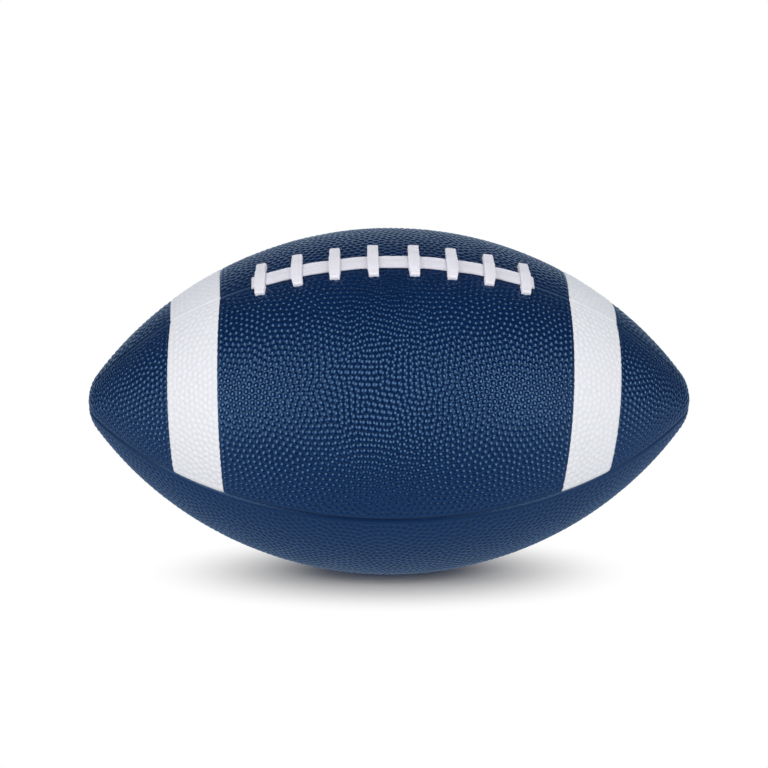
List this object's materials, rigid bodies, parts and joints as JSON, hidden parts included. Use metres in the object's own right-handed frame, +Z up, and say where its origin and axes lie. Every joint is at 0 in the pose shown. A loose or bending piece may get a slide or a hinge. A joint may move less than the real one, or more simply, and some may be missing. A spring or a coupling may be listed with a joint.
{
  "type": "american football",
  "caption": "Prolate american football of pebbled rubber panels with white stripes and raised laces over a wound carcass and air bladder, with a needle valve whose plug pulls out.",
  "frame": {"origin": "middle of the ball, on its long axis halfway between the noses", "axes": "+X along the ball's length to the right as seen from the front, +Z up as the ball lies in the picture, -Y towards the front; the laces lie rolled towards the front from straight up"},
  "size_m": [0.28, 0.161, 0.161],
  "materials": {
    "cover": "satin",
    "stripe": "satin",
    "lace": "matte",
    "inner_rubber": "matte",
    "winding": "matte",
    "valve": "matte"
  },
  "bodies": {
    "ball": {"front_panel": "cover", "top_panel": "cover", "bottom_panel": "cover", "back_panel": "cover", "front_left_stripe": "stripe", "front_right_stripe": "stripe", "top_left_stripe": "stripe", "top_right_stripe": "stripe", "cross_lace_1": "lace", "cross_lace_2": "lace", "cross_lace_3": "lace", "cross_lace_4": "lace", "cross_lace_5": "lace", "cross_lace_6": "lace", "cross_lace_7": "lace", "cross_lace_8": "lace", "lace_run_front": "lace", "lace_run_back": "lace", "lace_bed": "inner_rubber", "carcass": "inner_rubber", "winding": "winding", "bladder": "inner_rubber", "valve_boot": "valve"},
    "valve_plug": {"valve_plug": "valve"}
  },
  "joints": [
    {"name": "valve_plug_pull", "type": "slide", "parent": "ball", "child": "valve_plug", "axis": [0, 0.977, -0.213], "range_m": [0, 0.014]}
  ]
}
